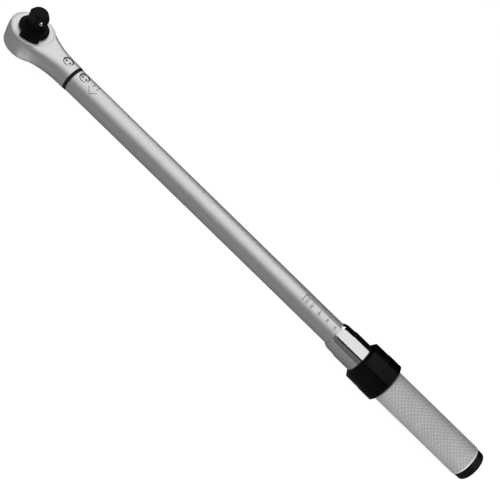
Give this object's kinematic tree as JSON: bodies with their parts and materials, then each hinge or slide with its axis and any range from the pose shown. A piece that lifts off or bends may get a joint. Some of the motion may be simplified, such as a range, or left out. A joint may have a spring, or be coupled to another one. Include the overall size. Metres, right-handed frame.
{
  "type": "torque wrench",
  "caption": "Click-type micrometer torque wrench: round ratchet head with square drive and selector, chrome tube, sliding lock ring and knurled screw handle.",
  "frame": {"origin": "on the drive axis, at the shoulder that the square drive rises from", "axes": "+X along the tube from the drive to the handle, +Z out of the square drive"},
  "size_m": [0.5582, 0.0412, 0.0502],
  "materials": {
    "chrome": "satin chrome plate",
    "black_steel": "black oxide",
    "knurled_steel": "fine diamond knurl",
    "black_ring": "satin black",
    "black_plastic": "satin black",
    "bright_steel": "polished",
    "spring_steel": "drawn wire",
    "tool_steel": "ground",
    "bronze": "machined",
    "seal_rubber": "matt"
  },
  "bodies": {
    "tube": {"tube": "chrome", "tube_seal": "seal_rubber", "pivot_pin": "chrome", "load_nut": "bronze", "nut_pins": "tool_steel", "main_spring": "spring_steel"},
    "head": {"ratchet_head": "chrome", "cover_plate": "chrome", "cover_snap_ring": "spring_steel", "click_lever": "tool_steel", "neck_pin": "chrome", "pawl_pin": "tool_steel", "pawl_spring": "spring_steel"},
    "drive": {"square_drive": "black_steel", "detent_spring": "spring_steel"},
    "detent": {"detent_ball": "bright_steel"},
    "selector": {"selector_lever": "black_steel"},
    "pawl": {"pawl": "tool_steel"},
    "pawl_plunger": {"pawl_plunger": "tool_steel"},
    "tilt_block": {"tilt_block": "tool_steel"},
    "plunger": {"plunger": "tool_steel"},
    "spring_seat": {"spring_seat": "tool_steel", "thrust_ball": "bright_steel"},
    "handle": {"handle_thimble": "chrome", "lock_balls": "bright_steel", "load_screw": "tool_steel", "grip_sleeve": "knurled_steel", "handle_washer": "tool_steel", "handle_nut": "tool_steel", "end_cap": "black_plastic"},
    "lock_ring": {"lock_ring": "black_ring", "lock_spring": "spring_steel"}
  },
  "joints": [
    {"name": "head_click", "type": "hinge", "parent": "tube", "child": "head", "pos_m": [0.0602, 0, -0.0144], "axis": [0, 0, 1], "range_deg": [0, 1.2], "stiffness_Nm_per_rad": 200},
    {"name": "block_tilt", "type": "hinge", "parent": "head", "child": "tilt_block", "pos_m": [0.15, -0.004, -0.0144], "axis": [0, 0, 1], "range_deg": [-15, 0]},
    {"name": "plunger_back", "type": "slide", "parent": "tube", "child": "plunger", "axis": [1, 0, 0], "range_m": [0, 0.00205], "deforming": ["main_spring"]},
    {"name": "drive_spin", "type": "hinge", "parent": "head", "child": "drive", "pos_m": [0, 0, -0.0144], "axis": [0, 0, 1], "continuous": true},
    {"name": "detent_press", "type": "slide", "parent": "drive", "child": "detent", "axis": [-0.8829, 0.4695, 0], "range_m": [0, 0.0012], "stiffness_N_per_m": 400, "deforming": ["detent_spring"]},
    {"name": "selector_turn", "type": "hinge", "parent": "head", "child": "selector", "pos_m": [0, 0, -0.0144], "axis": [0, 0, 1], "range_deg": [-30, 0]},
    {"name": "pawl_rock", "type": "hinge", "parent": "head", "child": "pawl", "pos_m": [0.017, 0, -0.0144], "axis": [0, 0, 1], "range_deg": [-15, 0]},
    {"name": "pawl_plunger_slide", "type": "slide", "parent": "head", "child": "pawl_plunger", "axis": [1, 0, 0], "range_m": [0, 0.0006], "stiffness_N_per_m": 500, "deforming": ["pawl_spring"]},
    {"name": "adjuster_slide", "type": "slide", "parent": "tube", "child": "spring_seat", "axis": [-1, 0, 0], "range_m": [0, 0.0391], "deforming": ["main_spring"]},
    {"name": "handle_turn", "type": "hinge", "parent": "spring_seat", "child": "handle", "pos_m": [0.45, 0, -0.0144], "axis": [-1, 0, 0], "range_deg": [0, 4680]},
    {"name": "lock_ring_slide", "type": "slide", "parent": "handle", "child": "lock_ring", "axis": [1, 0, 0], "range_m": [0, 0.004], "stiffness_N_per_m": 900, "deforming": ["lock_spring"]}
  ],
  "couplings": [
    {"joint": "block_tilt", "follows": "head_click", "ratio": -12.34},
    {"joint": "plunger_back", "follows": "head_click", "m_per_rad": 0.095493},
    {"joint": "pawl_rock", "follows": "selector_turn", "ratio": 0.5},
    {"joint": "adjuster_slide", "follows": "handle_turn", "m_per_rad": 0.00047746}
  ]
}
